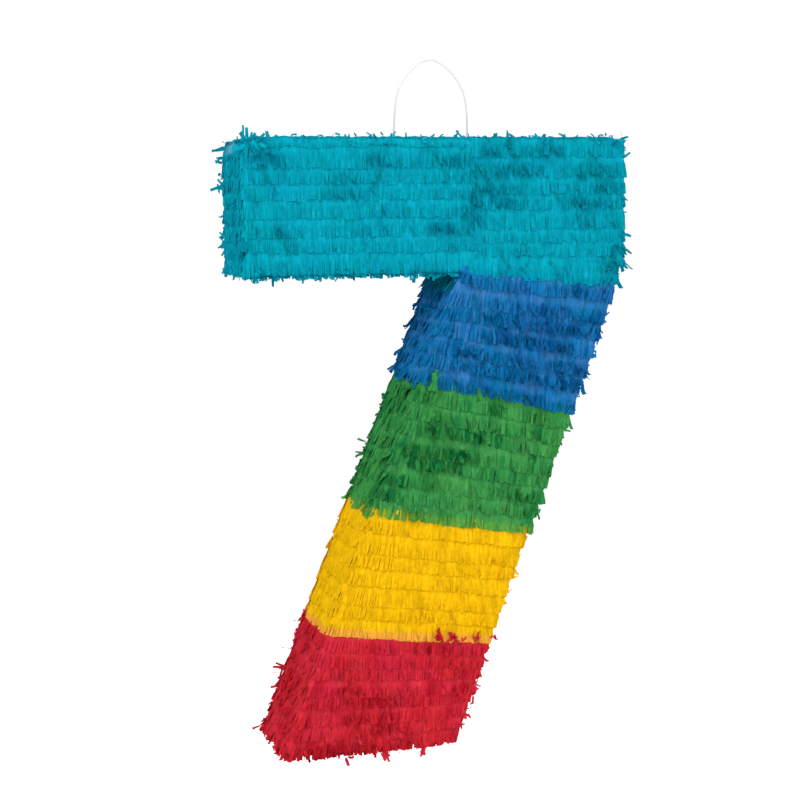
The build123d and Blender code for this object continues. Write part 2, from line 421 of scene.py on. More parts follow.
def ruffled_at(points, smooth):
    """How ruffled the paper is at each point, from 0 to 1."""
    amount = np.clip((ruffles.at(points) - smooth) / 0.4, 0, 1)
    on_front = points[:, 1] < -FACE_REACH + 1 * MM
    for x, z in HANDLED:
        away = np.hypot(points[:, 0] - x * MM, points[:, 2] - z * MM) / HANDLED_SIZE
        amount = np.maximum(amount, np.exp(-away**2) * on_front)
    return amount


def tab_habits(rng, face, style, middle, points):
    """Each tab's own lift, curve, drift and twist. middle is each one's place along the strip."""
    count = len(middle)
    ruffled = ruffled_at(points, style["smooth"])
    clump = np.clip(1 + ripple(rng, middle, (19, 9, 5), 1.5) / MM, 0.1, 2.5)
    chance = rng.random(count)
    stands = chance < (style["calm"] + style["ruffled"] * ruffled) * clump * face.lift
    curls = rng.random(count) < style["curled"] * (1 + 4 * ruffled) * face.lift
    strays = rng.random(count) < face.stray
    swell = np.clip(ripple(rng, middle, (47, 21, 13), 1.4) / MM, -0.3, 1.0)
    lift = (np.abs(rng.normal(0, 0.05, count)) + 0.10 * (0.3 + swell) * face.lift) * style["settled"]
    standing = rng.uniform(0.3, 1.3, count) * style["lift"] * min(1.0, face.lift + 0.15)
    lift = np.where(stands, standing, lift)
    lift = np.where(curls, rng.uniform(1.1, 2.6, count), lift)
    lift = np.where(strays, rng.uniform(0.9, 2.3, count), lift)
    loose = stands | curls | strays
    power = np.where(curls | strays, 0.7, rng.uniform(0.6, 1.6, count))
    drift = ripple(rng, middle, (50, 20, 11), 0.9 * style["drift"])
    drift = drift + rng.normal(0, 0.4 * style["drift"] * MM, count)
    drift = drift * np.where(loose, 2.2, 1.0) + rng.normal(0, 2.2 * MM, count) * ruffled * face.lift
    twist = rng.normal(0, style["twist"], count) * np.where(loose, 1.6, 0.45) * face.turn
    crumple = style["crumple"] * (0.35 + 0.65 * np.maximum(ruffled, loose))
    return dict(lift=lift, power=power, drift=drift, twist=twist, crumple=crumple, ruffled=ruffled)


def splay(rng, face, middle, width):
    """How far the tabs near each end fan out past it."""
    out = np.zeros_like(middle)
    ends = ((face.splay[0], middle < 2 * MM, -1), (face.splay[1], middle > width - 2 * MM, 1))
    for share, near, way in ends:
        fans = near & (rng.random(len(middle)) < share)
        out = np.where(fans, way * rng.uniform(3, 8, len(middle)) * MM, out)
    return out


def tab_colours(rng, face, colour, points, ply, over, ruffled, flat_header):
    """A colour for each tab at each step, as tab, step, rgb."""
    paper = {shade: np.array(linear(*rgb)) for shade, rgb in zip(SHADES, PAPERS[colour])}
    count, style = len(points), STYLES[colour]
    # The dye wanders the tone at random; face.deep darkens it as painted shade, and a deep below zero
    # lightens it as painted light
    mood = dye.at(points) * style["mottle"] + rng.normal(0, style["mottle"], count) - face.deep
    # ruffled patches are painted darker: painted shade between their raised tabs
    mood = mood - style["bruised"] * ruffled
    lean = dye.at(points[:, [2, 0, 1]] * 0.7) * style["lean"]
    tab = np.repeat(paper["usual"][None], count, 0)
    towards = (("deep", -mood, 1), ("flat", mood, 1), ("lean", lean, 0.5), ("other_lean", -lean, 0.5))
    for kind, amount, most in towards:
        tab = tab + (paper[kind] - tab) * np.clip(amount, 0, most)[:, None]
    shade = np.repeat(tab[:, None], STATIONS, 1)
    header = np.array([0.9, 0.9, 0.6, 0.2] + [0.0] * (STATIONS - 4))[None, :] * np.ones((count, 1))
    if flat_header is None:
        header = header * np.clip(0.5 + 0.6 * dye.at(points[:, [1, 2, 0]]) - face.deep, 0, 1)[:, None]
        flat_header = paper["flat"]
    else:
        uneven = rng.normal(0, 0.12, (count, 1))
        header = header * np.clip(1.1 - np.abs(points[:, 1:2] - 8 * MM) / (24 * MM) + uneven, 0, 1)
    shade = shade + (flat_header - shade) * header[:, :, None]
    if over:
        amount = np.clip((np.linspace(0, 1, STATIONS) - 0.45) * 3.5, 0, 1) * over
        shade = shade + (paper["over"] - shade) * amount[None, :, None]
    # Each step of each tab is painted a little lighter or darker at random: painted light and shade of small
    # creases.
    shade = shade * (1 + rng.normal(0, 0.05, (count, STATIONS, 1)))
    # Each ply further beneath is painted 10% darker: painted shade under the ply above.
    return np.clip(shade * (1 - 0.10 * ply), 0, 1)


def slits_along(rng, face, style, width, flat_ends):
    """Where the slits are along a strip, and how far round its ends the paper has turned at each one."""
    wide = abs(face.normal[1]) > 0.9
    reach_round, most_turn = (WIDE_WRAP, WIDE_WRAP_TURN) if wide else (WRAP, WRAP_TURN)
    left_wrap, right_wrap = (0.0 if flat else reach_round for flat in flat_ends)
    whole = width + left_wrap + right_wrap
    count = max(3, int(whole / (style["tab"] * face.broad * MM)))
    cuts = np.concatenate(([0], np.cumsum(rng.uniform(0.55, 1.45, count))))
    cuts = cuts / cuts[-1] * whole - left_wrap
    past_end = np.where(cuts < 0, -cuts, np.where(cuts > width, cuts - width, 0))
    return cuts, past_end / reach_round * most_turn


def uncut_part(face, base, axes, loft, puff, length, slit, ply, lean):
    """The part above the slits, where neighbouring tabs share their edges, level by level."""
    normal, down = axes
    levels = []
    for s in (0.0, slit * 0.5, slit):
        height = TIP_LIFT * face.thick + loft * min(1.0, s / LOFT_IN) - lean * (length - s)
        height = height - ply * PLY_GAP + puff * min(1.0, s / PUFF_IN)
        line = base + down * s + normal * np.maximum(height, LEAST_HEIGHT)[:, None]
        levels.append(np.stack([line[:-1], (line[:-1] + line[1:]) / 2, line[1:]], 1))
    return levels


def tab_shapes(rng, face, style, free, hem):
    """Each tab's droop, reach, slanted tip, taper and cupping. free is its length under an even hem."""
    count = len(hem) - 1
    droop = face.droop * rng.uniform(0.2, 1.5, count)
    reach = free + (hem[:-1] + hem[1:]) / 2 + rng.normal(0, 0.6 * MM * face.ragged, count)
    shorter = rng.random(count) < 0.04 * face.ragged
    reach = np.maximum(reach, 2.0 * MM) * np.where(shorter, rng.uniform(0.65, 0.85, count), 1.0)
    slant = rng.normal(0, 0.35 * MM, count)
    taper = 1 - rng.uniform(0.02, 1, count) * style["gap"]
    cup = rng.normal(0.2, 0.4, count) * MM
    return dict(droop=droop, step=reach / TAB_STEPS, slant=slant, taper=taper, cup=cup)


def free_part(rng, face, tab, centre, half, axes, lean):
    """The tabs below the slits, level by level, and where their tips are."""
    along, normal, down = axes
    levels = []
    for k in range(1, TAB_STEPS + 1):
        t = k / TAB_STEPS
        creased = tab["crumple"] * rng.normal(0, 1, len(half)) * (1 if k > 1 else 0.3)
        bent = tab["lift"] * ((k - 0.5) / TAB_STEPS) ** tab["power"]
        angle = lean + bent + tab["droop"] + face.curl * t + creased
        cosine, sine = np.cos(angle)[:, None], np.sin(angle)[:, None]
        centre = centre + (down * cosine + normal * sine) * tab["step"][:, None]
        outward = normal * cosine - down * sine
        roll = tab["twist"] * t
        across = along * np.cos(roll)[:, None] + outward * np.sin(roll)[:, None]
        here = centre + along * (tab["drift"] * t**1.5)[:, None]
        aside = across * (half * (1 - (1 - tab["taper"]) * t))[:, None]
        tip = down * (tab["slant"] * (k == TAB_STEPS))[:, None]
        ridge = here + outward * (tab["cup"] * min(1.0, 1.6 * t))[:, None]
        levels.append(np.stack([here - aside - tip, ridge, here + aside + tip], 1))
    return levels, centre


def ribbons(rng, face, start, end, length, slit, colour, ply, over, flat_ends, flat_header):
    """One ply of a strip of slit tissue, as points by tab, step and place across, and colours by tab and
    step. start and end are the ends of its glued edge on the board."""
    style = STYLES[colour]
    width = np.linalg.norm(end - start)
    cuts, turn = slits_along(rng, face, style, width, flat_ends)
    wander = ripple(rng, cuts, (310, 120, 50), 1.2)
    hem = ripple(rng, cuts, (230, 90, 37), 1.1)
    hem = hem + ripple(rng, cuts, (31, 17, 9), 1.4 * max(0, face.ragged - 0.5))
    puff = ripple(rng, cuts, (90, 34, 15), 0.45) + ripple(rng, cuts, (25, 13, 8), 0.45 * (face.puff - 1))
    share = np.clip(cuts / width, 0, 1)
    side = np.where((cuts < 0)[:, None], face.left, face.right)
    normal = unit(face.normal * np.cos(turn)[:, None] + side * np.sin(turn)[:, None])
    down = face.down_at(share)
    base = start + (end - start) * share[:, None] + down * wander[:, None]
    lean = (TIP_LIFT - GLUE_LIFT) / STRIP * face.thick
    loft = face.loft_at(np.clip(cuts, 0, width), width)
    levels = uncut_part(face, base, (normal, down), loft, puff, length, slit, ply, lean)

    middle = (cuts[:-1] + cuts[1:]) / 2
    n_mid, d_mid = unit(normal[:-1] + normal[1:]), unit(down[:-1] + down[1:])
    centre = levels[-1][:, 1]
    tab = tab_habits(rng, face, style, middle, centre + d_mid * (length - slit) * 0.6)
    tab["drift"] = tab["drift"] + splay(rng, face, middle, width)
    tab.update(tab_shapes(rng, face, style, length - slit, hem))
    axes = ((end - start) / width, n_mid, d_mid)
    free, tips = free_part(rng, face, tab, centre, (cuts[1:] - cuts[:-1]) / 2, axes, lean)
    shades = tab_colours(rng, face, colour, tips, ply, over, tab["ruffled"], flat_header)
    return np.stack(levels + free, 1), shades


def pressed_in(y):
    """Tabs that would stand far off the front or back, pressed back within reach."""
    room = MOST_REACH - FREE_REACH
    beyond = np.maximum(np.abs(y) - cad_high.y - FREE_REACH, 0)
    return np.sign(y) * (np.abs(y) - beyond + room * np.tanh(beyond / room))


def paper_piece(name, colour, nodes, body, plies):
    """A piece of tissue. plies is a list of points by tab, step and place across, with colours by tab and
    step. Without a body it is left unattached."""
    points, quads, colours, used = [], [], [], 0
    for tabs, shades in plies:
        count, stations = tabs.shape[:2]
        first = np.arange(count)[:, None] * stations * 3 + np.arange(stations - 1)[None, :] * 3
        for half in (first, first + 1):
            quads.append(np.stack([half, half + 1, half + 4, half + 3], -1).reshape(-1, 4) + used)
        points.append(tabs.reshape(-1, 3))
        colours.append(np.repeat(shades[:, :, None], 3, 2).reshape(-1, 3))
        used += count * stations * 3
    points, quads, colours = np.concatenate(points), np.concatenate(quads), np.concatenate(colours)
    points[:, 1] = pressed_in(points[:, 1])
    mesh = bpy.data.meshes.new(name)
    mesh.from_pydata(points, [], quads)
    mesh.polygons.foreach_set("use_smooth", np.ones(len(quads), bool))
    attribute = mesh.attributes.new("paper", "FLOAT_COLOR", "POINT")
    opaque = np.hstack([colours, np.ones((used, 1))]).astype(np.float32)
    attribute.data.foreach_set("color", opaque.ravel())
    mesh.materials.append(tissue[colour])
    piece = add_object(name, mesh)
    if body:
        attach(piece, body)
    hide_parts(*nodes)
    return piece


pieces_made = 0


def make_row(side, colour, label, face, start, end, body="case", length=STRIP, covered=0.0, over=0.0,
             flat_ends=(False, False), plies=2, bare=None, flat_header=None):
    """A strip of fringe as one piece that rides on a body. covered is how much of it the strip above hides,
    over how clearly the next band shows through its tips, and bare how much more is uncut than covered."""
    global pieces_made
    pieces_made += 1
    rng = np.random.default_rng([SEED, 100, pieces_made])
    bare = STYLES[colour]["bare"] * MM if bare is None else bare
    slit = min(max(1.0 * MM, covered + bare), length * 0.7)
    start, end = np.array(start, float), np.array(end, float)
    made = [
        ribbons(rng, face, start, end, length, slit, colour, ply, over, flat_ends, flat_header)
        for ply in range(plies - 1, -1, -1)
    ]
    node = f"{'flap' if body == 'flap' else side}_fringe_{colour}"
    paper_piece(f"{side}_{colour}_{label}", colour, [node], body, made)


def loose_tab(rng, place, direction, length, spread):
    """One loose tab, as three places across at each station."""
    way = unit(unit(np.array(direction, float)) + rng.normal(0, spread, 3))
    across = unit(np.cross(way, Y + rng.normal(0, 0.45, 3)))
    bend_about = unit(across + rng.normal(0, 0.5, 3))
    bend = rng.normal(0, 1.3) / 6
    here = np.array(place, float) * MM + across * rng.uniform(-3, 3) * MM - way * 2 * MM
    half = (0.4 + length * rng.uniform(0.07, 0.14)) * MM
    step = rng.uniform(0.7, 1.15) * length * MM / (TAB_STEPS + 2)
    line = []
    for k in range(STATIONS):
        narrow = half * (1 - 0.035 * k)
        cup = np.cross(way, across) * 0.3 * MM
        line.append([here - across * narrow, here + cup, here + across * narrow])
        way = unit(way * math.cos(bend) + np.cross(bend_about, way) * math.sin(bend))
        across = unit(across - way * np.dot(across, way))
        here = here + way * step
    return line


def make_tufts(name, colour, tufts):
    """Loose bunches of tabs that stick out, each (place in mm, direction, how many, length in mm, spread)."""
    global pieces_made
    pieces_made += 1
    rng = np.random.default_rng([SEED, 200, pieces_made])
    tabs = np.array([
        loose_tab(rng, place, direction, length, spread)
        for place, direction, count, length, spread in tufts
        for _ in range(count)
    ])
    still = Face(Z, -X, X, -Z)
    shades = tab_colours(rng, still, colour, tabs[:, 0, 0], 0, 0.0, np.zeros(len(tabs)), None)
    paper_piece(name, colour, [f"front_fringe_{colour}"], "case", [(tabs, shades)])


def corners(node):
    """The x and z of a leg band's corners: upper left, upper right, lower right, lower left."""
    found = {(round(v.co.x, 6), round(v.co.z, 6)) for v in frame["nodes"][node].data.vertices}
    ordered = sorted(found, key=lambda p: -p[1])
    upper, lower = sorted(ordered[:2]), sorted(ordered[2:])
    return [np.array(p) for p in (upper[0], upper[1], lower[1], lower[0])]


LEG = {colour: corners(f"front_fringe_{colour}") for colour in ("blue", "green", "yellow", "red")}
LEFT, RIGHT = cad_low.x, cad_high.x
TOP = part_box("top_fringe_teal")[1].z
BAR_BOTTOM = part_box("left_end_fringe_teal")[0].z
END_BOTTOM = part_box("right_end_fringe_teal")[0].z
FOOT_Z = cad_low.z
FOOT = (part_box("foot_fringe_red")[0].x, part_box("foot_fringe_red")[1].x)
FACE_REACH = -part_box("front_panel")[0].y  # from the middle to the board's front and back faces
INNER = LEG["blue"][0]
# Where the tips of each strip hang, down the bar, as shares of its height. The front's strips come in two
# lengths that don't line up.
FRONT_LEFT_HEMS = (0.0, 0.04, 0.20, 0.32, 0.44, 0.58, 0.72, 0.84, 1.0)
FRONT_RIGHT_HEMS = (0.0, 0.12, 0.28, 0.41, 0.52, 0.68, 0.79, 0.90, 1.0)
BACK_HEMS = (0.0, 0.13, 0.25, 0.385, 0.475, 0.615, 0.75, 0.87, 1.0)
BAR_ROWS = len(BACK_HEMS) - 1
FRONT_JOIN, JOIN_LAP = 27 * MM, 1.2 * MM
BELOW_BAR, BELOW_FOOT = 3.6 * MM, 3.2 * MM  # how far the last tips hang below the bar and the foot
# How many mm the strips on the narrow sides stand off, above the usual
LEFT_LOFT, RIGHT_LOFT = 3.4, 1.5
CUT_LOFT = -1.1  # where a strip is cut at the flap it lies closer
TOP_LOFTS = (1.6, 3.4, 5.6)
INNER_LOFT = {"blue": 2.4, "green": 1.8, "yellow": 2.9, "red": 2.9}
OUTER_LOFT = {"blue": 2.6, "green": 1.6, "yellow": 0.1, "red": 0.1}
LEG_ROWS = {"blue": 7, "green": 8, "yellow": 7, "red": 8}
UNEVEN = 0.13  # how far the leg's hems stray from even, as a share of the space between them
EDGE_UP, END_UP = 5.2 * MM, 3.6 * MM  # the first strips reach this far over the case's top edges
INTO_CORNER = 4 * MM  # and the strip over the leg's inner side this far into the corner above it
MIDDLE_LAP = 4 * MM  # strips that part at the middle of a side overlap this much there

X, Y, Z = np.eye(3)


def flat(point, y=0.0):
    """A place from its x and z."""
    return np.array([point[0], y, point[1]])


inner_down = unit(flat(LEG["red"][3] - INNER))
outer_down = unit(flat(LEG["red"][2] - LEG["blue"][1]))
inner_normal = np.array([inner_down[2], 0, -inner_down[0]])
outer_normal = np.array([-outer_down[2], 0, outer_down[0]])
hang = unit(-Z - 0.13 * X)
FRONT_AND_BACK = (("front", -1), ("back", 1))


def bar_strips(word):
    """The strips on the front or back of the bar, as (row, covered, left, right, high, low, body, suffix,
    which ends are cut flat)."""
    left_end, right_end = LEFT + FRINGE, RIGHT - FRINGE
    lengths = [(left_end, right_end, BACK_HEMS, "", (False, False))]
    if word == "front":
        lengths = [
            (left_end, FRONT_JOIN + JOIN_LAP, FRONT_LEFT_HEMS, "_left", (False, True)),
            (FRONT_JOIN - JOIN_LAP, right_end, FRONT_RIGHT_HEMS, "_right", (True, False)),
        ]
    for left, right, shares, suffix, flat_ends in lengths:
        hems = [TOP - (TOP - BAR_BOTTOM) * share for share in shares]
        for row in range(BAR_ROWS):
            low = hems[row + 1] - (BELOW_BAR if row == BAR_ROWS - 1 else 0)
            high = min(low + STRIP, TOP - FRINGE + EDGE_UP)
            covered = max(0.0, high - hems[row]) if row else 0.0
            spans = [(left, right, high, low, "case", suffix, flat_ends)]
            if word == "back":
                spans = split_at_flap(left, right, high, low)
            for span in spans:
                yield row, covered, *span


def bar_face(sign, suffix, row):
    """The habits of one length of strip on the bar's front or back."""
    if suffix in ("_over", "_flap"):
        return Face(sign * Y, -X, X, -Z, thick=0.45, lift=0.35, ragged=0.5)
    cut_loft = 0.0 if sign < 0 else CUT_LOFT
    at_left, at_right = suffix in ("", "_left"), suffix in ("", "_right")
    return Face(
        sign * Y, -X, X, -Z, thick=0.65, ragged=1.7 if row == BAR_ROWS - 1 else 1.0,
        splay=(0.03 if at_left else 0.0, 0.05 if at_right else 0.0),
        rim=(LEFT_LOFT if at_left else cut_loft, RIGHT_LOFT if at_right else cut_loft),
    )


def bar_sides():
    """The front and back of the bar."""
    for word, sign in FRONT_AND_BACK:
        y = sign * FACE_REACH
        for row, covered, left, right, high, low, body, suffix, flat_ends in bar_strips(word):
            length = high - low
            make_row(
                word, "teal", f"row_{row + 1}{suffix}", bar_face(sign, suffix, row), (left, y, high),
                (right, y, high), body, length=length, covered=min(covered, length * 0.5),
                flat_ends=flat_ends,
            )
        # the last strip slopes down to the leg's outer edge
        length = 20 * MM
        right = flat(LEG["blue"][1], y) - outer_down * length - X * FRINGE
        left = flat(INNER, y) + np.array([1 * MM, 0, length - 1.5 * MM])
        face = Face(
            sign * Y, -X, outer_normal, -Z, right_down=outer_down, rim=(0.0, RIGHT_LOFT), ragged=1.8
        )
        make_row(
            word, "teal", f"row_{BAR_ROWS + 1}", face, left, right, length=length, covered=6 * MM, over=0.5
        )


FLAP_LOW, FLAP_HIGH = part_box("fill_flap")
CREASE = next(j for j in frame["joints"] if j["name"] == "flap_hinge")["pos_m"][2]


def split_at_flap(left, right, high, low):
    """A strip on the back, cut where it crosses the filling flap, as (left, right, high, low, body, suffix,
    which ends are cut flat)."""
    gap = 0.15 * MM
    above, below = 3.0 * MM, 2.1 * MM
    if low > CREASE or high < FLAP_LOW.z:
        return [(left, right, high, low, "case", "", (False, False))]
    spans = [
        (left, FLAP_LOW.x - gap, high, low, "case", "_left", (False, True)),
        (FLAP_HIGH.x + gap, right, high, low, "case", "_right", (True, False)),
    ]
    if high > CREASE + 6 * MM:
        spans.append((FLAP_LOW.x, FLAP_HIGH.x, high, CREASE + above, "case", "_over", (True, True)))
    if low > FLAP_LOW.z - 6 * MM:
        top = min(high, CREASE - below)
        if top - low > 4 * MM:
            spans.append((FLAP_LOW.x, FLAP_HIGH.x, top, low, "flap", "_flap", (True, True)))
    else:
        spans.append((FLAP_LOW.x, FLAP_HIGH.x, FLAP_LOW.z - gap, low, "case", "_under", (True, True)))
    return spans


# Down the plain strip of tissue that is glued over the crease, in mm above it
CREASE_STATIONS = (9, 4, 2.2, 0.8, -0.8, -2.2, -4, -9)
CREASE_HEIGHT = 0.4 * MM


def uncut_piece(name, rng, lines, face, nodes, body):
    """A piece of plain teal tissue. lines are its stations, each with its places along the piece."""
    grid = np.stack(lines)
    tabs = np.stack([grid[:, k:k + 3] for k in range(0, grid.shape[1] - 1, 2)])
    shades = tab_colours(rng, face, "teal", tabs[:, 3, 1], 0, 0.0, np.zeros(len(tabs)), None)
    return paper_piece(name, "teal", nodes, body, [(tabs, shades)])


def make_crease_cover():
    """A strip of tissue over the flap's crease, fixed to nothing."""
    rng = np.random.default_rng([SEED, 400])
    along = np.linspace(FLAP_LOW.x, FLAP_HIGH.x, 61)
    heights = FACE_REACH + CREASE_HEIGHT + ripple(rng, along, (37, 14, 6), 0.12)
    lines = [np.stack([along, heights, np.full(61, CREASE + z * MM)], 1) for z in CREASE_STATIONS]
    # deep=0.5 paints the cover darker: painted shade in the recess between the rows above and below the
    # crease.
    cover = uncut_piece(
        "back_teal_over_crease", rng, lines, Face(Y, -X, X, -Z, deep=0.5),
        ["back_fringe_teal", "flap_fringe_teal"], None,
    )
    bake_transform(cover)


# The path of the tissue folded over the case's top edges, in mm out from and up from the board's edge
EDGE_PATH = ((-9, 0.7), (-5, 0.7), (-2, 0.75), (-0.2, 0.7), (0.6, 0.0), (0.75, -2), (0.75, -5), (0.75, -9))


def make_edge_covers():
    """Strips of tissue folded over the case's two top edges, under the fringe."""
    for number, (word, sign) in enumerate(FRONT_AND_BACK):
        rng = np.random.default_rng([SEED, 410 + number])
        along = np.linspace(LEFT + FRINGE, RIGHT - FRINGE, 221)
        swell = ripple(rng, along, (53, 21, 9), 0.12)
        lines = []
        for out, up in EDGE_PATH:
            y = sign * (FACE_REACH + out * MM + swell * (out > 0))
            lines.append(np.stack([along, y, TOP - FRINGE + up * MM + swell * (out < 0)], 1))
        # deep=0.3 paints these folded strips darker: painted shade under the fringe.
        uncut_piece(
            f"top_teal_over_{word}_edge", rng, lines, Face(Z, -X, X, sign * Y, deep=0.3),
            ["top_fringe_teal", f"{word}_fringe_teal"], "case",
        )


def leg_sides():
    """The front and back of the leg, band by band."""
    for colour, (upper_left, upper_right, lower_right, lower_left) in LEG.items():
        rows = LEG_ROWS[colour]
        for word, sign in FRONT_AND_BACK:
            left_side = np.linalg.norm(lower_left - upper_left)
            right_side = np.linalg.norm(lower_right - upper_right)
            pitch = (left_side + right_side) / 2 / rows
            for row in range(rows):
                last = row == rows - 1
                foot = last and colour == "red"
                face = Face(
                    sign * Y, inner_normal, outer_normal, hang, inner_down, outer_down,
                    splay=(0.01, 0.03), ragged=0.5 if last and not foot else 1.0,
                    rim=(INNER_LOFT[colour], OUTER_LOFT[colour]),
                )
                shift = 0.0 if last else UNEVEN * math.sin(2.6 * row + 1.7 * rows + sign)
                share = (row + 1 + shift) / rows
                left = flat(upper_left + (lower_left - upper_left) * share, sign * FACE_REACH)
                right = flat(upper_right + (lower_right - upper_right) * share, sign * FACE_REACH)
                length = min(STRIP, pitch * (row + 1) + 6 * MM) if colour == "blue" else STRIP
                start = left - inner_down * length + X * FRINGE * 1.05
                end = right - outer_down * length - X * FRINGE * 1.05
                make_row(
                    word, colour, f"row_{row + 1}", face, start, end, covered=length - pitch,
                    over=0.8 if last and not foot else 0.0,
                    length=length + (BELOW_FOOT if foot else 0.0), plies=3 if foot else 2,
                )


def narrow_face(normal, down, loft, **habits):
    """A narrow side that stands upright, with few tabs that stand away."""
    habits = dict(lift=0.1, turn=0.4, broad=1.8, thick=0.5, rim=(loft, loft)) | habits
    return Face(normal, -Y, Y, down, loft=loft, **habits)


def narrow_row(side, colour, row, face, header, length, pitch, **more):
    """A strip across a narrow side. header is the middle of its glued edge."""
    across = Y * FACE_REACH
    covered = max(0.0, length - pitch)
    make_row(
        side, colour, f"row_{row + 1}", face, header - across, header + across, length=length,
        covered=covered, **more,
    )


def leg_edges():
    """The inner and outer edges of the leg."""
    for colour, (upper_left, upper_right, lower_right, lower_left) in LEG.items():
        rows = LEG_ROWS[colour]
        stray = 0.0 if colour == "yellow" else 0.012
        for word, upper, lower, down, normal, droop, loft in (
            ("inner_leg", upper_left, lower_left, inner_down, inner_normal, 0.0, INNER_LOFT[colour]),
            ("outer_leg", upper_right, lower_right, outer_down, outer_normal, 0.03, OUTER_LOFT[colour]),
        ):
            # Yellow's leg edges get a deep below zero, which paints them lighter: painted light against their
            # shade.
            deep = -0.4 if colour == "yellow" else 0.0
            face = narrow_face(normal, down, loft, droop=droop, stray=stray, ragged=2.6, deep=deep)
            for row in range(rows):
                tip = upper + (lower - upper) * (row + 1) / rows
                header = flat(tip) - normal * FRINGE - down * STRIP
                pitch = np.linalg.norm(lower - upper) / rows
                length = min(STRIP, np.linalg.norm(tip - INNER)) if word == "inner_leg" else STRIP
                header = header + down * (STRIP - length)
                narrow_row(
                    word, colour, row, face, header, length, pitch,
                    over=0.75 if row == rows - 1 and colour != "red" else 0.0,
                    bare=8 * MM if colour == "yellow" else None,
                )


def outer_leg_teal():
    """The teal part of the leg's outer edge."""
    corner, low = flat((RIGHT, END_BOTTOM)), flat(LEG["blue"][1])
    face = narrow_face(outer_normal, outer_down, RIGHT_LOFT, droop=0.03)
    pitch = np.linalg.norm(low - corner) / 2
    for row in range(2):
        length = pitch * (row + 1) + 1.5 * MM
        header = corner + (low - corner) * (row + 1) / 2 - outer_normal * FRINGE - outer_down * length
        narrow_row("outer_leg", "teal", row, face, header, length, pitch, over=0.3 if row else 0.0)


def underside_over_leg():
    """The underside's last strip, turned down over the leg."""
    across = Y * FACE_REACH
    # deep=1.1 paints this strip dark: painted shade under the bar, in the corner over the leg
    face = Face(
        inner_normal, -Y, Y, inner_down, droop=0.2, lift=0.8, ragged=3.0, deep=1.1,
        loft=INNER_LOFT["blue"],
    )
    header = flat(INNER) - inner_normal * FRINGE - inner_down * INTO_CORNER
    make_row(
        "bar_underside", "teal", "over_leg", face, header - across, header + across,
        length=20 * MM + INTO_CORNER,
    )


GLUED_THIN = np.array(linear(96, 170, 200))  # tissue that wet glue has left thin, over white board


def bar_ends():
    """The two ends of the bar."""
    # The left end's deep of 0.3 paints it darker than the front: painted shade on that side.
    for word, x, normal, bottom, rows, loft, deep in (
        ("left_end", LEFT + FRINGE, -X, BAR_BOTTOM, BAR_ROWS, LEFT_LOFT, 0.3),
        ("right_end", RIGHT - FRINGE, X, END_BOTTOM, 7, RIGHT_LOFT, 0.0),
    ):
        face = narrow_face(normal, -Z, loft, stray=0.01, ragged=2.4, thick=0.6, deep=deep)
        pitch = (TOP - bottom) / rows
        for row in range(rows):
            tips = TOP - pitch * (row + 1) - (2 * MM if row == rows - 1 else 0)
            header = min(tips + STRIP, TOP - FRINGE + END_UP)
            thin = word == "left_end" and row == 0
            face.broad = 0.8 if thin else 1.8
            narrow_row(
                word, "teal", row, face, flat((x, header)), header - tips, pitch,
                bare=9 * MM if thin else None, flat_header=GLUED_THIN if thin else None,
            )


# The sides whose strips point to the front and to the back: where they are, how far the last tips reach
# past the board's edges, and their habits
LEVEL_SIDES = (
    ("top", LEFT + FRINGE, RIGHT - FRINGE, TOP - FRINGE, Z, "teal", 7 * MM,
     dict(lift=0.3, ragged=1.8, stray=0.004, droop=0.04)),
    # The underside's deep of 0.7 paints it darker: painted shade under the bar.
    ("bar_underside", LEFT + FRINGE, INNER[0] + 1 * MM, BAR_BOTTOM + FRINGE, -Z, "teal", 4.5 * MM,
     dict(lift=0.5, droop=0.1, ragged=1.6, stray=0.008, deep=0.7, loft=0.2)),
    ("foot", FOOT[0] + FRINGE, FOOT[1] - FRINGE, FOOT_Z + FRINGE, -Z, "red", 3.5 * MM,
     dict(lift=0.25, droop=0.1, ragged=1.5, stray=0.012, loft=1.5)),
)
LEVEL_ROWS = 3


def level_face(word, normal, sign, row, habits):
    face = Face(normal, -X, X, sign * Y, **habits)
    if word == "top":
        face.loft, face.rim = TOP_LOFTS[row], (TOP_LOFTS[0], TOP_LOFTS[0])
        if row == LEVEL_ROWS - 1:
            face.puff, face.curl = 3.5, -2.0
    return face


def level_faces():
    """The top, the underside of the bar and the foot."""
    pitch = FACE_REACH / LEVEL_ROWS
    for word, x0, x1, z, normal, colour, past_edge, habits in LEVEL_SIDES:
        for side, sign in FRONT_AND_BACK:
            for row in range(LEVEL_ROWS):
                edge_row = row == LEVEL_ROWS - 1
                past = past_edge * edge_row
                tips = pitch * (row + 1) + past
                header = max(0.4 * MM if side == "back" else -MIDDLE_LAP, tips - STRIP)
                length = tips - header
                make_row(
                    word, colour, f"{side}_row_{row + 1}", level_face(word, normal, sign, row, habits),
                    (x0, sign * header, z), (x1, sign * header, z),
                    length=length, covered=max(0.0, length - pitch - past),
                    plies=2 if edge_row or word == "foot" else 1,
                    flat_ends=(False, word == "bar_underside"),
                )


bar_sides()
make_crease_cover()
make_edge_covers()
leg_sides()
leg_edges()
outer_leg_teal()
underside_over_leg()
bar_ends()
level_faces()


def edge(top, down, z):
    """The x of one of the leg's edges at a height, in millimetres."""
    return (top[0] + down[0] / down[2] * (z * MM - top[1])) / MM


def inner(z, y=41.0):
    return (edge(INNER, inner_down, z), y, z)


def outer(z, y=-41.0):
    return (edge((RIGHT, END_BOTTOM), outer_down, z), y, z)


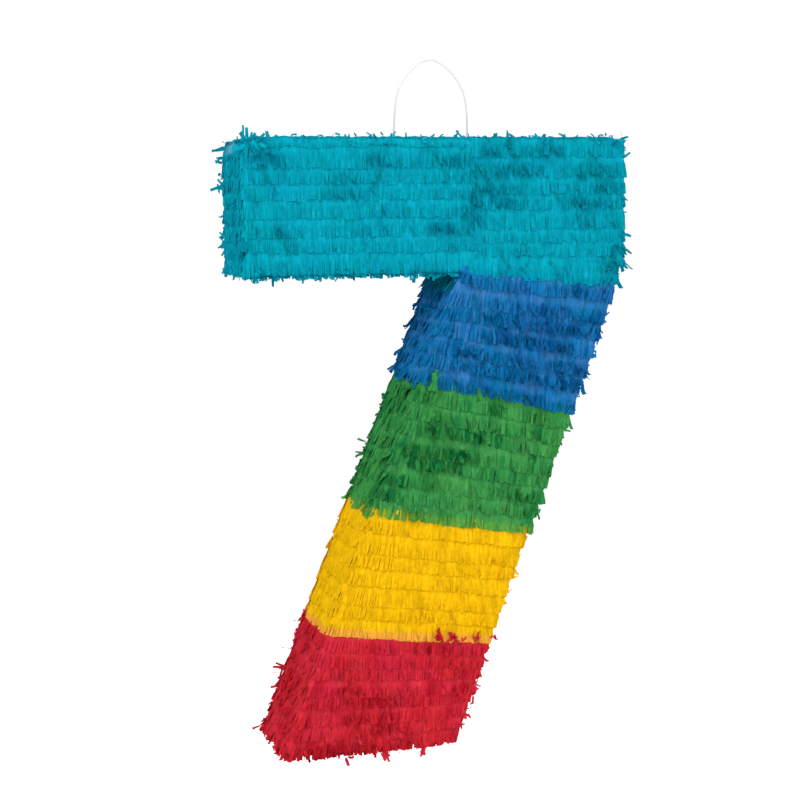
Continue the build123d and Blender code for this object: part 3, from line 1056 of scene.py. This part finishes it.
def fuzz(seed, start, end, count, outward, length, longest=1.5):
    """Small loose bits at random along a line, lying mostly along it. start, end and length are in mm."""
    rng = np.random.default_rng([SEED, 300, seed])
    start, end, outward = (np.array(v, float) for v in (start, end, outward))
    along = unit(end - start)
    tufts = []
    for place in (np.arange(count) + rng.uniform(0, 1, count)) / count:
        direction = outward * rng.uniform(0.25, 0.9) + along * rng.choice((-1, 1)) * rng.uniform(0.3, 1.0)
        reach = length * rng.uniform(0.7, longest)
        tufts.append((start + (end - start) * place, direction, int(rng.integers(1, 4)), reach, 0.3))
    return tufts


TO_LEFT, TO_RIGHT = (-1, 0, -0.1), (1, 0, 0.1)
FUZZ = {
    "teal": [
        *fuzz(1, (-160, -39, -70), (172, -39, -70), 40, (0, -0.3, 1), 5.5),
        *fuzz(2, (-176, 39, -70), (172, 39, -70), 26, (0, 0.3, 1), 5),
        *fuzz(3, (-182, 39, -80), (-182, 39, -186), 12, (-1, 0.2, 0), 5),
        *fuzz(4, (-182, -39, -80), (-182, -39, -186), 8, (-1, -0.3, 0), 4),
        *fuzz(5, (173, -39, -80), (173, -39, -176), 7, (1, -0.2, 0), 4),
        *fuzz(6, (174, 39, -80), (174, 39, -176), 8, (1, 0.2, 0), 5),
        *fuzz(7, (-178, -39, -189), (-80, -39, -189), 14, (0, -0.2, -1), 6),
        *fuzz(9, (-181, -37, -184), (-181, 37, -188), 9, (-0.6, 0, -1), 5),
        *fuzz(8, (-178, 39, -190), (-6, 39, -190), 14, (0, 0.2, -1), 5),
    ],
    "blue": [
        *fuzz(11, inner(-215), inner(-285), 8, (-1, 0.1, 0), 4),
        *fuzz(12, outer(-215), outer(-310), 12, (1, -0.1, 0), 4),
    ],
    "green": [
        *fuzz(13, inner(-295), inner(-395), 16, (-1, 0.1, 0), 5),
        *fuzz(14, outer(-325), outer(-415), 12, (1, -0.1, 0), 4),
    ],
    "yellow": [
        *fuzz(15, inner(-405), inner(-495), 5, (-1, 0.1, 0), 3),
        *fuzz(16, outer(-425), outer(-505), 6, (1, -0.1, 0), 3),
    ],
    "red": [
        *fuzz(17, inner(-506), inner(-612), 16, (-1, 0.1, 0), 5),
        *fuzz(18, outer(-525), outer(-612), 10, (1, -0.1, 0), 4),
        *fuzz(19, (-154, -40, -620), (6, -40, -620), 20, (0, -0.1, -1), 5),
        *fuzz(20, (-154, 40, -620), (6, 40, -620), 14, (0, 0.1, -1), 5),
        *fuzz(21, (-156, -38, -619), (-156, 38, -619), 10, (-0.6, 0, -1), 5),
    ],
}
TUFTS = {
    "teal": [
        ((-180, -41, -73), (0.0, -0.05, 1), 5, 13, 0.07),
        ((-174, -41, -73), (0.4, -0.1, 1), 4, 9, 0.2),
        ((-168, -41, -73), (0.8, -0.1, 0.6), 4, 9, 0.2),
        ((-177, -43, -77), (-0.45, -0.12, -1), 5, 15, 0.12),
        ((-174, -43, -76), (0.5, -0.12, -1), 5, 15, 0.12),
        ((-170, -43, -76), (0.9, -0.15, -0.5), 5, 12, 0.15),
        ((-162, -42, -80), (0.5, -0.3, -0.8), 4, 8, 0.3),
        ((-87, -41, -74), (0.7, 0, 0.6), 2, 8, 0.2),
        ((-51, -41, -74), (-0.2, 0, 1), 3, 8, 0.4),
        ((-19, -41, -74), (0.9, 0, 0.4), 3, 7, 0.3),
        ((95, -41, -74), (0.3, 0, 1), 3, 6, 0.5),
        ((147, -41, -74), (-0.2, 0, 1), 4, 7, 0.4),
        ((162, -41, -75), (0.2, 0, 1), 6, 8, 0.4),
        ((172, -41, -76), (0.8, 0, 0.8), 3, 8, 0.4),
        ((174, -41, -86), TO_RIGHT, 2, 7, 0.5),
        ((174, -41, -158), TO_RIGHT, 3, 9, 0.4),
        ((168, -41, -196), TO_RIGHT, 2, 6, 0.3),
        ((-184, 41, -77), (-1, 0, -0.35), 2, 12, 0.06),
        ((-185, 41, -88), (-1, 0, 0.1), 3, 8, 0.25),
        ((-184, 41, -113), (-1, 0, 0.6), 2, 10, 0.12),
        ((-184, 41, -114), (-1, 0, -0.45), 2, 12, 0.06),
        ((-184, 41, -103), (-0.5, 0, -1), 2, 8, 0.2),
        ((-184, 41, -140), (-0.4, 0, -1), 2, 9, 0.2),
        ((-184, 41, -162), (-0.2, 0, -1), 3, 10, 0.2),
        ((-180, -40, -185), (-0.2, -0.2, -1), 6, 9, 0.2),
        ((-180, 40, -185), (-0.2, 0.2, -1), 6, 9, 0.2),
        ((-171, -41, -188), (0.4, -0.1, -1), 3, 10, 0.25),
        ((-160, -41, -188), (-0.2, -0.1, -1), 2, 7, 0.4),
        ((-125, -41, -188), (0.2, -0.1, -1), 3, 7, 0.4),
        ((-99, -41, -188), (0.2, -0.1, -1), 3, 9, 0.4),
        ((-90, -41, -188), (0.2, -0.1, -1), 2, 7, 0.3),
    ],
    "blue": [
        (outer(-232), TO_RIGHT, 1, 5, 0.4),
        (outer(-262), (0.4, 0, -1), 2, 7, 0.3),
        (outer(-296), (0.4, 0, -1), 3, 8, 0.3),
        (outer(-305), TO_RIGHT, 1, 5, 0.3),
        (inner(-250), TO_LEFT, 1, 5, 0.4),
    ],
    "green": [
        ((-14, -43, -293), (0.05, -0.2, 1), 7, 18, 0.12),
        ((32, -42, -307), (0.1, -0.4, 0.9), 3, 7, 0.3),
        ((84, -42, -318), (0.0, -0.4, 0.9), 2, 6, 0.3),
        (inner(-306), TO_LEFT, 3, 7, 0.6),
        (inner(-318), TO_LEFT, 3, 7, 0.7),
        (inner(-348), TO_LEFT, 3, 7, 0.5),
        (inner(-362), TO_LEFT, 3, 10, 0.4),
        (inner(-378), TO_LEFT, 3, 8, 0.6),
        (inner(-394), (-0.8, 0, -0.7), 3, 13, 0.1),
        (outer(-342), (0.5, 0, -1), 2, 6, 0.3),
        (outer(-366), (0.5, 0, -1), 2, 7, 0.3),
        (outer(-388), (0.4, 0, -1), 2, 7, 0.3),
    ],
    "yellow": [
        (outer(-440), (0.15, 0, -1), 2, 8, 0.1),
        (outer(-466), (0.15, 0, -1), 2, 9, 0.12),
        (outer(-492), (0.1, 0, -1), 2, 9, 0.12),
        (inner(-494), TO_LEFT, 2, 5, 0.4),
    ],
    "red": [
        (inner(-512), (-1, 0, -0.6), 3, 12, 0.15),
        (inner(-528), TO_LEFT, 3, 9, 0.6),
        (inner(-540), TO_LEFT, 3, 7, 0.7),
        (inner(-562), (-1, 0, 0.3), 3, 13, 0.2),
        (inner(-567), (-1, 0, -0.2), 3, 13, 0.2),
        (inner(-580), TO_LEFT, 3, 9, 0.6),
        (inner(-604), TO_LEFT, 4, 9, 0.7),
        (inner(-612), (-0.9, 0, -0.3), 4, 10, 0.6),
        (inner(-616), (-0.7, 0, -0.7), 4, 10, 0.6),
        (inner(-616, 10), (-0.5, 0, -1), 4, 9, 0.6),
        (inner(-617, -25), (-0.3, 0, -1), 4, 9, 0.6),
        ((-150, -40, -617), (-0.2, 0, -1), 4, 11, 0.5),
        ((-138, -41, -617), (0.1, 0, -1), 3, 10, 0.4),
        ((-110, -41, -617), (0.1, 0, -1), 2, 9, 0.3),
        ((-82, -41, -617), (0.5, 0, -1), 3, 10, 0.5),
        ((-50, -41, -617), (-0.4, 0, -1), 3, 11, 0.5),
        ((-36, -41, -618), (0.3, 0, -1), 2, 6, 0.5),
        ((3, -41, -617), (0.3, 0, -1), 3, 7, 0.5),
        (outer(-527), (0.5, 0, -1), 2, 7, 0.4),
        (outer(-570), (0.8, 0, -0.6), 3, 9, 0.5),
        (outer(-582), (0.8, 0, -0.6), 3, 8, 0.6),
        (outer(-598), (0.6, 0, -0.8), 4, 8, 0.5),
        (outer(-608), (0.6, 0, -0.8), 3, 8, 0.5),
        ((-2, -41, -527), (-0.2, -0.2, 1), 3, 9, 0.35),
        ((9, -41, -528), (0.2, -0.2, 1), 5, 9, 0.4),
        ((16, -41, -528), (0.1, -0.2, 1), 3, 8, 0.4),
        ((29, -41, -530), (0.1, -0.2, 1), 3, 8, 0.3),
        ((-8, -43, -523), (-0.1, -0.25, 1), 5, 11, 0.25),
        ((4, -43, -524), (0.1, -0.25, 1), 5, 10, 0.3),
        ((26, -43, -526), (0.2, -0.25, 1), 4, 10, 0.3),
        ((-60, -41, -626), (0.6, -0.1, -1), 4, 11, 0.2),
        ((-24, -41, -624), (-0.4, -0.1, -1), 4, 12, 0.2),
        ((-96, -41, -628), (0.4, -0.1, -1), 3, 10, 0.25),
    ],
}

for kind, tables in (("fuzz", FUZZ), ("tufts", TUFTS)):
    for colour, tufts in tables.items():
        make_tufts(f"{colour}_{kind}", colour, tufts)

# ---- CAD pieces that stay


def dress(node, material):
    mesh = frame["nodes"][node].data
    mesh.materials.clear()
    mesh.materials.append(material)


board = board_material("corrugated_board")
cut_board = board_material("corrugated_board_cut", FACE_REACH - 1.5 * MM)
tape = tape_material()
for material, dressed in (
    (board, ("front_panel", "top_wall", "right_end_wall", "outer_leg_wall", "foot_wall", "inner_leg_wall",
             "bar_underside_wall", "left_end_wall", "hanger_plate")),
    (cut_board, ("back_panel", "fill_flap")),
    (tape, ("front_edge_tapes", "back_edge_tapes")),
    (nylon, ("loop_ends_and_knots",)),
):
    for node in dressed:
        dress(node, material)

# ---- room and light

FLOOR_BELOW = 0.45
FLOOR_SIZE = 12.0


def make_floor():
    half = FLOOR_SIZE / 2
    z = cad_low.z - FLOOR_BELOW
    mesh = bpy.data.meshes.new("floor")
    corners = [(-half, -half, z), (half, -half, z), (half, half, z), (-half, half, z)]
    mesh.from_pydata(corners, [], [(0, 1, 2, 3)])
    nodes = Nodes("floor")
    nodes.set(Base_Color=(0.95, 0.95, 0.95, 1), Roughness=0.9)
    nodes.set(Emission_Color=(1, 1, 1, 1), Emission_Strength=0.5)
    mesh.materials.append(nodes.material)
    add_object("floor", mesh)


def area_light(name, place, size, power):
    """A soft square light that looks at the middle of the object."""
    data = bpy.data.lights.new(name, "AREA")
    data.size = size
    data.energy = power
    light = add_object(name, data)
    light.location = (cad_low + cad_high) / 2 + Vector(place)
    light.rotation_mode = "QUATERNION"
    light.rotation_quaternion = (-Vector(place)).to_track_quat("-Z", "Y")


def make_world():
    """Soft white light from all round, and a pure white surround."""
    world = bpy.data.worlds.new("studio")
    bpy.context.scene.world = world
    world.use_nodes = True
    tree = world.node_tree
    background = tree.nodes["Background"]
    background.inputs["Color"].default_value = (1, 1, 1, 1)
    rays = tree.nodes.new("ShaderNodeLightPath")
    strength = tree.nodes.new("ShaderNodeMapRange")
    strength.inputs["To Min"].default_value = 0.52
    strength.inputs["To Max"].default_value = 1.05
    tree.links.new(rays.outputs["Is Camera Ray"], strength.inputs["Value"])
    tree.links.new(strength.outputs[0], background.inputs["Strength"])


make_floor()
make_world()
area_light("key", (-1.3, -1.5, 1.6), 0.9, 33)
area_light("fill", (1.4, -1.6, 0.3), 1.6, 8)
area_light("rim", (0.4, 1.8, 0.9), 1.6, 18)
bpy.context.scene.view_settings.view_transform = "Standard"
